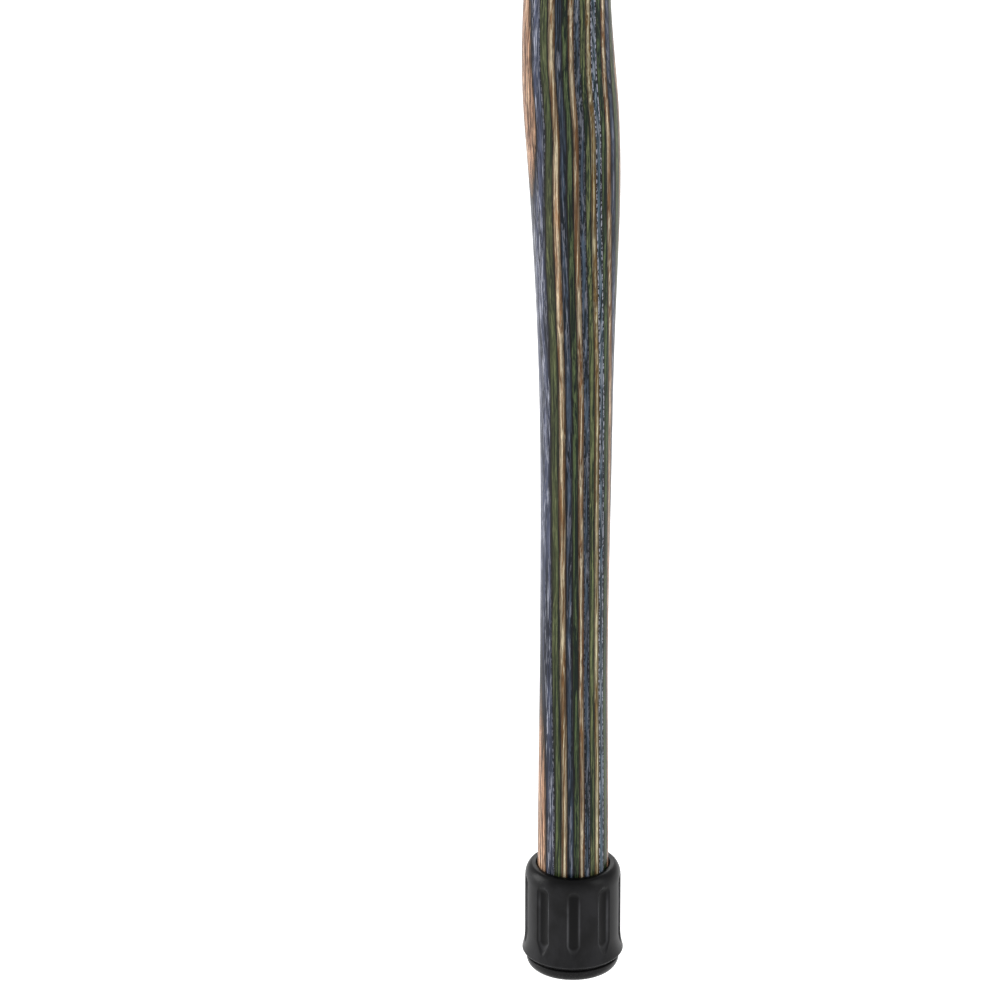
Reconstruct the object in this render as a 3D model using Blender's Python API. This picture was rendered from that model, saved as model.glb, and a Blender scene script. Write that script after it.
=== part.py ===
"""Twisted walking cane, carved from a block of coloured veneers.

Origin at the centre of the rubber tip's flat underside, +Z up the shaft, the
handle's nose towards +X. The veneers lie across Y, and they are counted from
the -Y side of the blank.
"""
import math

import bmesh
import bpy
from mathutils import Vector

MM = 0.001

# Fits
SEAT_GAP = 0.3 * MM
GLUE_LINE = 0.05 * MM

# Blank of flat veneers, which the shaft and the handle are both carved from.
# It bows towards -Y, given as distance below the collar and offset
VENEER = 1.37 * MM
VENEERS = 27
VENEER_CYCLE = ("green", "tan", "blue")
BOW_LINE = (
    (128.0 * MM, 0.0 * MM),
    (341.0 * MM, 1.95 * MM),
    (500.0 * MM, 1.95 * MM),
    (600.0 * MM, 3.75 * MM),
    (700.0 * MM, 0.55 * MM),
    (760.0 * MM, -0.1 * MM),
)
FEATHER = 0.2 * MM
CREST_FLAT = 0.03 * MM

# Twisted shaft: an oval section whose long side turns as it climbs, given as
# distance below the collar, half of its long side and half of its short side
COLLAR_Z = 846.0 * MM
FOOT_RADIUS = 9.0 * MM
NECK_RADIUS = 12.6 * MM
SHAFT_LINE = (
    (0.0 * MM, NECK_RADIUS, NECK_RADIUS),
    (62.0 * MM, 15.5 * MM, 9.0 * MM),
    (163.0 * MM, 15.3 * MM, 10.4 * MM),
    (279.0 * MM, 14.6 * MM, 11.9 * MM),
    (445.0 * MM, 13.0 * MM, 11.4 * MM),
    (568.0 * MM, 10.3 * MM, 9.6 * MM),
    (616.0 * MM, 12.0 * MM, 10.9 * MM),
    (688.0 * MM, 9.4 * MM, 9.2 * MM),
    (754.0 * MM, 8.6 * MM, 8.6 * MM),
    (814.0 * MM, FOOT_RADIUS, FOOT_RADIUS),
)
TURN_LENGTH = 574.7 * MM
BROAD_BELOW_COLLAR = 143.0 * MM
BROAD_ANGLE = math.radians(-22.3)

# The section's centre swings round the axis, and wavers to one side above
# the foot: distance below the collar and offset, or share of the swing
SWING = 0.62 * MM
SWING_PITCH = 214.8 * MM
SWING_LINE = ((0.0 * MM, 0.0), (55.0 * MM, 1.0), (624.0 * MM, 1.0), (734.0 * MM, 0.0))
SWING_LEFT_BELOW_COLLAR = 95.1 * MM
SWING_LEFT_ANGLE = math.radians(157.7)
WAVER_LINE = (
    (440.0 * MM, 0.0 * MM),
    (583.0 * MM, 2.9 * MM),
    (635.0 * MM, 0.05 * MM),
    (672.0 * MM, -0.6 * MM),
    (770.0 * MM, 0.0 * MM),
)
WAVER_ANGLE = math.radians(255.0)

# Facets
STATION_STEP = 27.0 * MM
SIDE_STEP = math.radians(15.0)

# Joint between shaft and handle: tenons in a collar, and a stud through both
COLLAR_HEIGHT = 16.0 * MM
COLLAR_RADIUS = 13.2 * MM
COLLAR_WALL = 0.9 * MM
COLLAR_BEAD = 0.35 * MM
COLLAR_EDGE = 1.6 * MM
STUD_RADIUS = 3.0 * MM
STUD_LENGTH = 56.0 * MM
STUD_CHAMFER = 0.6 * MM

# Derby handle, as points along its back: X, height over the collar, half
# height and half width of the grip there
GRIP_LINE = (
    (37.0 * MM, 17.0 * MM, 6.5 * MM, 9.0 * MM),
    (29.0 * MM, 26.5 * MM, 11.5 * MM, 12.4 * MM),
    (15.0 * MM, 33.5 * MM, 14.6 * MM, 14.4 * MM),
    (-2.0 * MM, 36.0 * MM, 15.4 * MM, 15.0 * MM),
    (-22.0 * MM, 34.5 * MM, 13.8 * MM, 14.6 * MM),
    (-44.0 * MM, 32.0 * MM, 12.2 * MM, 13.6 * MM),
    (-66.0 * MM, 33.5 * MM, 11.4 * MM, 12.4 * MM),
    (-84.0 * MM, 39.5 * MM, 9.6 * MM, 10.8 * MM),
)
GRIP_END_ROUND = 8.0 * MM
GRIP_STATIONS = 15
GRIP_SIDES = 14
NECK_TOP = 30.0 * MM
NECK_FLARE_X = 19.0 * MM
NECK_FLARE_Y = 13.2 * MM
NECK_STATIONS = 5

# Rubber tip with a steel washer under the shaft's end. From the floor up it
# has a band, a crease, a lip that flares out over it, flutes and a shoulder
TIP_HEIGHT = 28.8 * MM
TIP_BODY_RADIUS = 12.2 * MM
TIP_RIM_RADIUS = 10.1 * MM
TIP_SHOULDER = 3.6 * MM
TIP_LIP_RADIUS = 12.9 * MM
TIP_LIP_HEIGHT = 3.8 * MM
TIP_FLARE_HEIGHT = 5.8 * MM
TIP_BAND_RADIUS = 12.45 * MM
TIP_BAND_HEIGHT = 2.5 * MM
TIP_CREASE = 0.35 * MM
TIP_EDGE = 1.0 * MM
TIP_FLOOR = 6.5 * MM
TIP_SIDES = 54
TREAD_PAD_RADIUS = 4.5 * MM
TREAD_RING_INNER = 6.2 * MM
TREAD_RING_OUTER = 8.0 * MM
TREAD_RIM_INNER = 9.6 * MM
TREAD_DEPTH = 1.0 * MM
FLUTES = 9
FLUTE_TURN = math.radians(-17.0)
FLUTE_WIDTH = 3.4 * MM
FLUTE_DEPTH = 0.9 * MM
FLUTE_BOTTOM = 7.0 * MM
FLUTE_TOP = 25.6 * MM
FLUTE_RUN_OUT = 2.4 * MM
WASHER_THICKNESS = 1.5 * MM
WASHER_RADIUS = 8.6 * MM
WASHER_HOLE = 2.2 * MM
ROUND_SIDES = 30

# Colour, metallic value and roughness of each material
FINISHES = {
    "green": ((0.085, 0.105, 0.035), 0.0, 0.30),
    "tan": ((0.42, 0.24, 0.14), 0.0, 0.30),
    "blue": ((0.095, 0.115, 0.20), 0.0, 0.30),
    "collar_brass": ((0.78, 0.58, 0.26), 1.0, 0.25),
    "steel": ((0.55, 0.55, 0.56), 1.0, 0.35),
    "rubber": ((0.018, 0.018, 0.019), 0.0, 0.55),
}

# Heights that follow from the sizes above
COLLAR_TOP_Z = COLLAR_Z + COLLAR_HEIGHT
JOINT_Z = COLLAR_Z + COLLAR_HEIGHT / 2
TENON_RADIUS = COLLAR_RADIUS - COLLAR_WALL - SEAT_GAP
SOCKET_RADIUS = FOOT_RADIUS + SEAT_GAP
SHAFT_FOOT_Z = TIP_FLOOR + WASHER_THICKNESS + 2 * SEAT_GAP
VENEER_PITCH = VENEER + GLUE_LINE
BLANK_FACE = VENEERS * VENEER_PITCH / 2
STATIONS = math.ceil((COLLAR_Z - SHAFT_FOOT_Z) / STATION_STEP)
STATION = (COLLAR_Z - SHAFT_FOOT_Z) / STATIONS


def clear_scene():
    for item in list(bpy.data.objects):
        bpy.data.objects.remove(item, do_unlink=True)


def make_materials():
    materials = {}
    for name, (colour, metallic, roughness) in FINISHES.items():
        material = bpy.data.materials.new(name)
        material.use_nodes = True
        shader = material.node_tree.nodes["Principled BSDF"]
        shader.inputs["Base Color"].default_value = (*colour, 1.0)
        shader.inputs["Metallic"].default_value = metallic
        shader.inputs["Roughness"].default_value = roughness
        materials[name] = material
    return materials


def add_object(name, mesh, material=None):
    item = bpy.data.objects.new(name, mesh)
    bpy.context.collection.objects.link(item)
    if material:
        mesh.materials.clear()
        mesh.materials.append(material)
    return item


def mesh_from(bm, name):
    """Close a bmesh into a mesh with its faces pointing out."""
    bmesh.ops.recalc_face_normals(bm, faces=bm.faces)
    mesh = bpy.data.meshes.new(name)
    bm.to_mesh(mesh)
    bm.free()
    return mesh


def shade_round(mesh, degrees=35.0):
    mesh.shade_smooth()
    mesh.set_sharp_from_angle(angle=math.radians(degrees))


def loft(bm, rings):
    """Join rings of points into one closed skin with flat ends."""
    loops = [[bm.verts.new(point) for point in ring] for ring in rings]
    count = len(loops[0])
    for lower, upper in zip(loops, loops[1:]):
        for i in range(count):
            j = (i + 1) % count
            bm.faces.new((lower[i], lower[j], upper[j], upper[i]))
    bm.faces.new(loops[0])
    bm.faces.new(loops[-1])


def turn(bm, outline, sides):
    """Spin a closed outline of (radius, height) points about the shaft's axis."""
    points = [bm.verts.new((radius, 0.0, height)) for radius, height in outline]
    edges = [bm.edges.new((a, b)) for a, b in zip(points, points[1:])]
    if outline[0][0] > 0.0:
        edges.append(bm.edges.new((points[-1], points[0])))
    bmesh.ops.spin(
        bm, geom=points + edges, cent=(0, 0, 0), axis=(0, 0, 1),
        angle=2 * math.pi, steps=sides, use_merge=True, use_duplicate=False)
    bmesh.ops.remove_doubles(bm, verts=bm.verts, dist=1e-6)


def applied_mesh(item):
    """The mesh of an object with its modifiers applied."""
    bpy.context.view_layer.update()
    graph = bpy.context.evaluated_depsgraph_get()
    return bpy.data.meshes.new_from_object(item.evaluated_get(graph))


def smooth_through(points, place):
    """Value at a place on the smooth curve through (place, value) points."""
    if place <= points[0][0]:
        return points[0][1]
    if place >= points[-1][0]:
        return points[-1][1]
    last = len(points) - 1
    slopes = [0.0] * (last + 1)
    for i in range(1, last):
        (x0, y0), (x1, y1) = points[i - 1], points[i + 1]
        slopes[i] = (y1 - y0) / (x1 - x0)
    i = max(k for k in range(last) if points[k][0] <= place)
    (x0, y0), (x1, y1) = points[i], points[i + 1]
    step = x1 - x0
    t = (place - x0) / step
    rise = t * t * (3 - 2 * t)
    return (y0 + (y1 - y0) * rise + step * t * (1 - t) * ((1 - t) * slopes[i] - t * slopes[i + 1]))


def eased_through(points, place):
    """Value at a place where it eases from each (place, value) point to the next."""
    for (x0, y0), (x1, y1) in zip(points, points[1:]):
        if place < x1:
            t = max(place - x0, 0.0) / (x1 - x0)
            return y0 + (y1 - y0) * t * t * (3 - 2 * t)
    return points[-1][1]


def bow_at(z):
    """Offset of the blank at one height, straight from each station to the next."""
    below = math.floor((z - SHAFT_FOOT_Z) / STATION)
    part = (z - SHAFT_FOOT_Z) / STATION - below
    drop = COLLAR_Z - SHAFT_FOOT_Z - STATION * below
    return (1 - part) * eased_through(BOW_LINE, drop) + part * eased_through(BOW_LINE, drop - STATION)


def half_sides(drop):
    """Half of the oval's long and short sides, at a distance below the collar."""
    return (
        smooth_through([(place, long) for place, long, short in SHAFT_LINE], drop),
        smooth_through([(place, short) for place, long, short in SHAFT_LINE], drop))


def centre_at(drop):
    """Offset of the section's centre, at a distance below the collar."""
    swing = SWING * smooth_through(SWING_LINE, drop)
    angle = SWING_LEFT_ANGLE - 2 * math.pi * (drop - SWING_LEFT_BELOW_COLLAR) / SWING_PITCH
    waver = smooth_through(WAVER_LINE, drop)
    x = swing * math.cos(angle) + waver * math.cos(WAVER_ANGLE)
    y = swing * math.sin(angle) + waver * math.sin(WAVER_ANGLE)
    return x, y


class ShaftSection:
    """The shaft's oval at one height, asked about by depth into the blank (-Y)."""

    def __init__(self, z, radius=None):
        drop = COLLAR_Z - z
        self.z = z
        long, short = (radius, radius) if radius else half_sides(drop)
        self.x, self.y = centre_at(drop)
        self.face = BLANK_FACE + bow_at(z)
        angle = BROAD_ANGLE - 2 * math.pi * (drop - BROAD_BELOW_COLLAR) / TURN_LENGTH
        c, s = math.cos(angle), math.sin(angle)
        self.across = (c / long)**2 + (s / short)**2
        self.mixed = c * s * (1 / long**2 - 1 / short**2)
        self.area = 1 / (long * short)**2
        self.reach = math.sqrt(self.across / self.area)

    def edges(self, depth):
        """X of both edges where the plane at this depth cuts the oval."""
        y = -depth - self.y
        middle = -self.mixed * y / self.across
        half = math.sqrt(max(self.across - self.area * y * y, 0.0)) / self.across
        return self.x + middle - half, self.x + middle + half

    def veneer_span(self, index):
        """Lowest and highest depth of one veneer inside the oval."""
        outer = self.face - index * VENEER_PITCH
        centre, reach = -self.y, self.reach - CREST_FLAT
        low = max(outer - VENEER, centre - reach)
        high = min(outer, centre + reach)
        return low, high


def veneer_ring(section, index, sides):
    """Outline of one veneer's cut edge at one height."""
    low, high = section.veneer_span(index)
    start = math.asin((low + section.y) / section.reach)
    stop = math.asin((high + section.y) / section.reach)
    left, right = [], []
    for step in range(sides + 1):
        angle = start + (stop - start) * step / sides
        depth = section.reach * math.sin(angle) - section.y
        x0, x1 = section.edges(depth)
        left.append(Vector((x0, -depth, section.z)))
        right.append(Vector((x1, -depth, section.z)))
    return left + right[::-1]


def veneer_sides(sections, index):
    """Facets that a veneer's carved edge needs, from the widest arc it covers."""
    widest = 0.0
    for section in sections:
        low, high = section.veneer_span(index)
        if high > low:
            arc = (math.asin((high + section.y) / section.reach)
                   - math.asin((low + section.y) / section.reach))
            widest = max(widest, arc)
    return max(1, math.ceil(widest / SIDE_STEP))


def thickness(section, index):
    low, high = section.veneer_span(index)
    return high - low


def feather_height(thick, thin, index):
    """Height between two sections where a veneer thins to its feather edge."""
    inside, outside = thick.z, thin.z
    for _ in range(24):
        middle = (inside + outside) / 2
        if thickness(ShaftSection(middle), index) > FEATHER:
            inside = middle
        else:
            outside = middle
    return inside


def veneer_islands(sections, index):
    """Runs of sections that hold a veneer, each closed at its feather edges."""
    islands, run, previous = [], [], None
    for section in sections:
        solid = thickness(section, index) > FEATHER
        same_form = previous is not None and section.z - previous.z > SEAT_GAP * 2
        if solid and not run and same_form:
            run = [ShaftSection(feather_height(section, previous, index))]
        if solid:
            run.append(section)
        elif run:
            if same_form:
                run.append(ShaftSection(feather_height(previous, section, index)))
            islands.append(run)
            run = []
        previous = section
    if run:
        islands.append(run)
    return [spaced(island) for island in islands if len(island) > 1]


def spaced(island):
    """Drop a section that crowds a feather edge."""
    kept = [island[0]]
    for section in island[1:-1]:
        near_start = section.z - island[0].z < STATION_STEP / 4 and len(kept) == 1
        near_end = island[-1].z - section.z < STATION_STEP / 4
        if section.z >= COLLAR_Z or not (near_start or near_end):
            kept.append(section)
    kept.append(island[-1])
    return kept


def shaft_sections():
    """Sections from the shaft's foot to the end of its tenon."""
    sections = [ShaftSection(SHAFT_FOOT_Z + STATION * i) for i in range(STATIONS)]
    shoulder_z = COLLAR_Z - SEAT_GAP
    sections.append(ShaftSection(shoulder_z))
    sections.append(ShaftSection(shoulder_z + SEAT_GAP, TENON_RADIUS))
    sections.append(ShaftSection(JOINT_Z - SEAT_GAP / 2, TENON_RADIUS))
    return sections


def veneer_colour(index):
    return VENEER_CYCLE[index % len(VENEER_CYCLE)]


def stud_cutter(name, radius, length):
    """Bore for the stud, through the joint between shaft and handle."""
    bm = bmesh.new()
    bmesh.ops.create_cone(
        bm, cap_ends=True, segments=24, radius1=radius, radius2=radius, depth=length)
    bmesh.ops.translate(bm, verts=bm.verts, vec=(0, 0, JOINT_Z))
    cutter = add_object(name, mesh_from(bm, name))
    cutter.hide_render = True
    cutter.display_type = "WIRE"
    return cutter


def bore(item, cutter):
    cut = item.modifiers.new("stud_bore", "BOOLEAN")
    cut.operation = "DIFFERENCE"
    cut.solver = "EXACT"
    cut.object = cutter


def meets_stud(index):
    """Whether the stud's bore reaches a veneer, at the height of the joint."""
    outer = BLANK_FACE - index * VENEER_PITCH
    reach = STUD_RADIUS + SEAT_GAP
    return outer > -reach and outer - VENEER < reach


def build_shaft(materials, cutter):
    """A node for each piece of veneer: carving parts the outer ones into islands, a from below."""
    sections = shaft_sections()
    for index in range(VENEERS):
        islands = veneer_islands(sections, index)
        for island, letter in zip(islands, "abcd"):
            name = f"shaft_ply_{index + 1:02d}" + (letter if len(islands) > 1 else "")
            sides = veneer_sides(island, index)
            bm = bmesh.new()
            loft(bm, [veneer_ring(section, index, sides) for section in island])
            mesh = mesh_from(bm, name)
            shade_round(mesh, 30.0)
            ply = add_object(name, mesh, materials[veneer_colour(index)])
            if meets_stud(index):
                bore(ply, cutter)


def oval_ring(centre, side, up, half_side, half_up, count):
    points = []
    for i in range(count):
        angle = 2 * math.pi * (i + 0.5) / count
        points.append(centre + side * half_side * math.cos(angle) + up * half_up * math.sin(angle))
    return points


def grip_ring(place):
    """Section of the grip, square to its line, at 0 for the nose to 1 for the tail."""
    last = len(GRIP_LINE) - 1

    def value(column, at):
        points = [(i / last, point[column]) for i, point in enumerate(GRIP_LINE)]
        return smooth_through(points, at)

    step = 0.01
    ahead, behind = min(place + step, 1.0), max(place - step, 0.0)
    run = Vector((value(0, ahead) - value(0, behind), 0, value(1, ahead) - value(1, behind)))
    run.normalize()
    centre = Vector((value(0, place), 0, COLLAR_TOP_Z + value(1, place)))
    up = Vector((-run.z, 0, run.x))
    return centre, run, up, value(2, place), value(3, place)


def grip_mesh():
    """The handle's bar, lofted along its line with rounded ends."""
    rings = []
    side = Vector((0, 1, 0))
    cap_steps = 4

    def round_end(place, outward, order):
        centre, run, up, half_up, half_side = grip_ring(place)
        for i in order:
            angle = math.pi / 2 * i / cap_steps
            at = centre + run * outward * GRIP_END_ROUND * math.sin(angle)
            shrink = math.cos(angle)
            rings.append(oval_ring(at, side, up, half_side * shrink, half_up * shrink, GRIP_SIDES))

    outermost = cap_steps - 0.35
    round_end(0.0, -1, (outermost, 3, 2, 1))
    for i in range(GRIP_STATIONS):
        centre, run, up, half_up, half_side = grip_ring(i / (GRIP_STATIONS - 1))
        rings.append(oval_ring(centre, side, up, half_side, half_up, GRIP_SIDES))
    round_end(1.0, 1, (1, 2, 3, outermost))
    bm = bmesh.new()
    loft(bm, rings)
    return mesh_from(bm, "grip")


def neck_mesh():
    """The handle's neck: a tenon in the collar, a shoulder on it, and a flare into the grip."""
    across, along = Vector((1, 0, 0)), Vector((0, 1, 0))

    def ring(z, half_x, half_y):
        return oval_ring(Vector((0, 0, z)), across, along, half_x, half_y, GRIP_SIDES * 2)

    shoulder_z = COLLAR_TOP_Z + SEAT_GAP
    rings = [
        ring(JOINT_Z + SEAT_GAP / 2, TENON_RADIUS, TENON_RADIUS),
        ring(shoulder_z - SEAT_GAP, TENON_RADIUS, TENON_RADIUS),
    ]
    for i in range(NECK_STATIONS):
        t = i / (NECK_STATIONS - 1)
        half_x = NECK_RADIUS + (NECK_FLARE_X - NECK_RADIUS) * t * t
        half_y = NECK_RADIUS + (NECK_FLARE_Y - NECK_RADIUS) * t * t
        rings.append(ring(shoulder_z + (NECK_TOP - SEAT_GAP) * t, half_x, half_y))
    bm = bmesh.new()
    loft(bm, rings)
    return mesh_from(bm, "neck")


def handle_mesh():
    """Grip and neck as one carved body, before it is told apart into veneers."""
    body = add_object("handle_body", grip_mesh())
    neck = add_object("handle_neck", neck_mesh())
    union = body.modifiers.new("neck", "BOOLEAN")
    union.operation = "UNION"
    union.solver = "EXACT"
    union.object = neck
    mesh = applied_mesh(body)
    for item in (body, neck):
        bpy.data.objects.remove(item, do_unlink=True)
    return mesh


def veneer_slice(mesh, low, high):
    """The part of a mesh between two depths into the blank, closed on both flats."""
    bm = bmesh.new()
    bm.from_mesh(mesh)
    for depth, facing in ((high, -1), (low, 1)):
        geometry = bm.verts[:] + bm.edges[:] + bm.faces[:]
        result = bmesh.ops.bisect_plane(
            bm, geom=geometry, dist=1e-7, plane_co=(0, -depth, 0),
            plane_no=(0, facing, 0), clear_outer=True)
        rim = [e for e in result["geom_cut"] if isinstance(e, bmesh.types.BMEdge)]
        bmesh.ops.triangle_fill(bm, use_beauty=True, edges=rim)
    return bm


def build_handle(materials, cutter):
    """One node for each veneer of the handle, sliced from its carved body."""
    mesh = handle_mesh()
    reach = max(vertex.co.y for vertex in mesh.vertices)
    for index in range(VENEERS):
        high = BLANK_FACE - index * VENEER_PITCH
        low = high - VENEER
        if low > reach - FEATHER or high < FEATHER - reach:
            continue
        name = f"handle_ply_{index + 1:02d}"
        bm = veneer_slice(mesh, low, high)
        bmesh.ops.dissolve_degenerate(bm, dist=5e-6, edges=bm.edges)
        ply_mesh = mesh_from(bm, name)
        shade_round(ply_mesh, 30.0)
        ply = add_object(name, ply_mesh, materials[veneer_colour(index)])
        if meets_stud(index):
            bore(ply, cutter)


def build_collar(materials):
    """Turned metal band, with a raised bead at each edge."""
    inner = COLLAR_RADIUS - COLLAR_WALL
    z0, z1 = COLLAR_Z, COLLAR_TOP_Z
    bead = COLLAR_RADIUS + COLLAR_BEAD
    outline = [
        (inner, z0),
        (COLLAR_RADIUS, z0),
        (bead, z0 + COLLAR_EDGE * 0.25),
        (bead, z0 + COLLAR_EDGE * 0.75),
        (COLLAR_RADIUS, z0 + COLLAR_EDGE),
        (COLLAR_RADIUS, z1 - COLLAR_EDGE),
        (bead, z1 - COLLAR_EDGE * 0.75),
        (bead, z1 - COLLAR_EDGE * 0.25),
        (COLLAR_RADIUS, z1),
        (inner, z1),
    ]
    bm = bmesh.new()
    turn(bm, outline, ROUND_SIDES)
    mesh = mesh_from(bm, "collar")
    shade_round(mesh)
    add_object("collar", mesh, materials["collar_brass"])


def build_stud(materials):
    """Steel stud that joins handle and shaft."""
    z0, z1 = JOINT_Z - STUD_LENGTH / 2, JOINT_Z + STUD_LENGTH / 2
    outline = [
        (0.0, z0),
        (STUD_RADIUS - STUD_CHAMFER, z0),
        (STUD_RADIUS, z0 + STUD_CHAMFER),
        (STUD_RADIUS, z1 - STUD_CHAMFER),
        (STUD_RADIUS - STUD_CHAMFER, z1),
        (0.0, z1),
    ]
    bm = bmesh.new()
    turn(bm, outline, ROUND_SIDES)
    mesh = mesh_from(bm, "joining_stud")
    shade_round(mesh)
    add_object("joining_stud", mesh, materials["steel"])


def flute_depth(angle, z):
    """How deep the tip's fluted side is cut at one place."""
    spacing = 2 * math.pi / FLUTES
    off = abs((angle - FLUTE_TURN + spacing / 2) % spacing - spacing / 2) * TIP_BODY_RADIUS
    if off >= FLUTE_WIDTH / 2 or not FLUTE_BOTTOM <= z <= FLUTE_TOP:
        return 0.0
    round_bottom = math.sqrt(1 - (2 * off / FLUTE_WIDTH)**2)
    run_out = min(z - FLUTE_BOTTOM, FLUTE_TOP - z) / FLUTE_RUN_OUT
    return FLUTE_DEPTH * round_bottom * math.sin(math.pi / 2 * min(run_out, 1.0))


def tip_outline():
    """Half section of the tip, from its underside round to its socket's floor."""
    slope = TREAD_DEPTH * 0.4
    outline = [
        (0.0, 0.0),
        (TREAD_PAD_RADIUS, 0.0),
        (TREAD_PAD_RADIUS + slope, TREAD_DEPTH),
        (TREAD_RING_INNER - slope, TREAD_DEPTH),
        (TREAD_RING_INNER, 0.0),
        (TREAD_RING_OUTER, 0.0),
        (TREAD_RING_OUTER + slope, TREAD_DEPTH),
        (TREAD_RIM_INNER - slope, TREAD_DEPTH),
        (TREAD_RIM_INNER, 0.0),
        (TIP_BAND_RADIUS - TIP_EDGE, 0.0),
        (TIP_BAND_RADIUS, TIP_EDGE),
        (TIP_BAND_RADIUS, TIP_BAND_HEIGHT),
        (TIP_BAND_RADIUS - TIP_CREASE, TIP_BAND_HEIGHT + TIP_CREASE),
    ]
    for i in range(3):
        t = i / 2
        radius = TIP_BODY_RADIUS + (TIP_LIP_RADIUS - TIP_BODY_RADIUS) * (1 - t)**2
        outline.append((radius, TIP_LIP_HEIGHT + TIP_FLARE_HEIGHT * t))
    flare_top = TIP_LIP_HEIGHT + TIP_FLARE_HEIGHT
    shoulder_z = TIP_HEIGHT - TIP_SHOULDER
    flute_run = (
        FLUTE_BOTTOM + FLUTE_RUN_OUT,
        FLUTE_TOP - FLUTE_RUN_OUT,
        FLUTE_TOP - FLUTE_RUN_OUT / 2,
    )
    outline += [(TIP_BODY_RADIUS, z) for z in flute_run if flare_top < z < shoulder_z]
    for i in range(4):
        angle = math.pi / 2 * i / 3
        radius = TIP_RIM_RADIUS + (TIP_BODY_RADIUS - TIP_RIM_RADIUS) * math.cos(angle)
        outline.append((radius, shoulder_z + TIP_SHOULDER * math.sin(angle)))
    outline += [
        (SOCKET_RADIUS, TIP_HEIGHT - SEAT_GAP),
        (SOCKET_RADIUS, TIP_FLOOR),
        (0.0, TIP_FLOOR),
    ]
    return outline


def build_tip(materials):
    """Fluted rubber tip with a socket for the shaft and tread rings below."""
    bm = bmesh.new()
    turn(bm, tip_outline(), TIP_SIDES)
    for vertex in bm.verts:
        x, y, z = vertex.co
        radius = math.hypot(x, y)
        if radius > TIP_BODY_RADIUS - SEAT_GAP:
            shrink = 1 - flute_depth(math.atan2(y, x), z) / radius
            vertex.co.x = x * shrink
            vertex.co.y = y * shrink
    mesh = mesh_from(bm, "rubber_tip")
    shade_round(mesh)
    add_object("rubber_tip", mesh, materials["rubber"])


def build_washer(materials):
    """Steel washer in the socket, which keeps the shaft from cutting the rubber."""
    z0 = TIP_FLOOR + SEAT_GAP
    z1 = z0 + WASHER_THICKNESS
    outline = [(WASHER_HOLE, z0), (WASHER_RADIUS, z0), (WASHER_RADIUS, z1), (WASHER_HOLE, z1)]
    bm = bmesh.new()
    turn(bm, outline, ROUND_SIDES)
    mesh = mesh_from(bm, "tip_washer")
    shade_round(mesh)
    add_object("tip_washer", mesh, materials["steel"])


def main():
    clear_scene()
    materials = make_materials()
    cutter = stud_cutter("stud_bore", STUD_RADIUS + SEAT_GAP, STUD_LENGTH + 2 * SEAT_GAP)
    build_shaft(materials, cutter)
    build_handle(materials, cutter)
    build_collar(materials)
    build_stud(materials)
    build_tip(materials)
    build_washer(materials)


main()
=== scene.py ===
"""Twisted walking cane: carved veneers, a derby handle, a metal collar and a fluted rubber tip."""

import math

import bmesh
import bpy
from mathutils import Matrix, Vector


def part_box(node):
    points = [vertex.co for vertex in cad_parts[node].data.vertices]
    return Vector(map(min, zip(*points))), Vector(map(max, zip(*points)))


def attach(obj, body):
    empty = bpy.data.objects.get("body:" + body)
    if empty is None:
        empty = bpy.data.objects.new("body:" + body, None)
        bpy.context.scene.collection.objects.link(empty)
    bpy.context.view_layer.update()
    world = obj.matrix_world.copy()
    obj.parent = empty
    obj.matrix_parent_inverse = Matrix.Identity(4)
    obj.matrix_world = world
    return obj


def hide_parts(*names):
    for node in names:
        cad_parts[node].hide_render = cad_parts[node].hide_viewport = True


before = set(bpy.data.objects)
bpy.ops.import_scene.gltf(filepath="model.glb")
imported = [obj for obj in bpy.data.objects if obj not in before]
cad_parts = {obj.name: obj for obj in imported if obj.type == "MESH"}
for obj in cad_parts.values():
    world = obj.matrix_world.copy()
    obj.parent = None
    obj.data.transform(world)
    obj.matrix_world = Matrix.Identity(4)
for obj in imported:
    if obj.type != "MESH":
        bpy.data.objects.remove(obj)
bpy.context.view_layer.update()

MM = 0.001

# Blank of flat veneers. They lie across Y, counted from its -Y side, and bow
# towards -Y, given as distance below the collar and offset
VENEERS = 27
VENEER_PITCH = 1.42 * MM
BLANK_FACE = VENEERS * VENEER_PITCH / 2
VENEER_CYCLE = ("green", "tan", "blue")
BOW_LINE = (
    (128.0 * MM, 0.0 * MM),
    (341.0 * MM, 1.95 * MM),
    (500.0 * MM, 2.1 * MM),
    (596.0 * MM, 4.6 * MM),
    (620.0 * MM, 3.6 * MM),
    (700.0 * MM, 1.25 * MM),
    (750.0 * MM, 0.9 * MM),
    (800.0 * MM, 0.5 * MM),
)

# Shaft, as distance below the collar, half of the oval's long side and half
# of its short side
COLLAR_Z = 846.0 * MM
SHAFT_FOOT_Z = 8.6 * MM
SHAFT_LINE = (
    (0.0 * MM, 12.6 * MM, 12.6 * MM),
    (62.0 * MM, 15.5 * MM, 9.0 * MM),
    (163.0 * MM, 15.3 * MM, 10.4 * MM),
    (279.0 * MM, 14.6 * MM, 11.9 * MM),
    (445.0 * MM, 13.0 * MM, 11.4 * MM),
    (568.0 * MM, 10.3 * MM, 9.6 * MM),
    (616.0 * MM, 12.0 * MM, 10.9 * MM),
    (688.0 * MM, 9.4 * MM, 9.2 * MM),
    (754.0 * MM, 8.6 * MM, 8.6 * MM),
    (814.0 * MM, 9.0 * MM, 9.0 * MM),
)
SHAFT_SIDES = 112
SHAFT_STEP = 3.0 * MM

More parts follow.
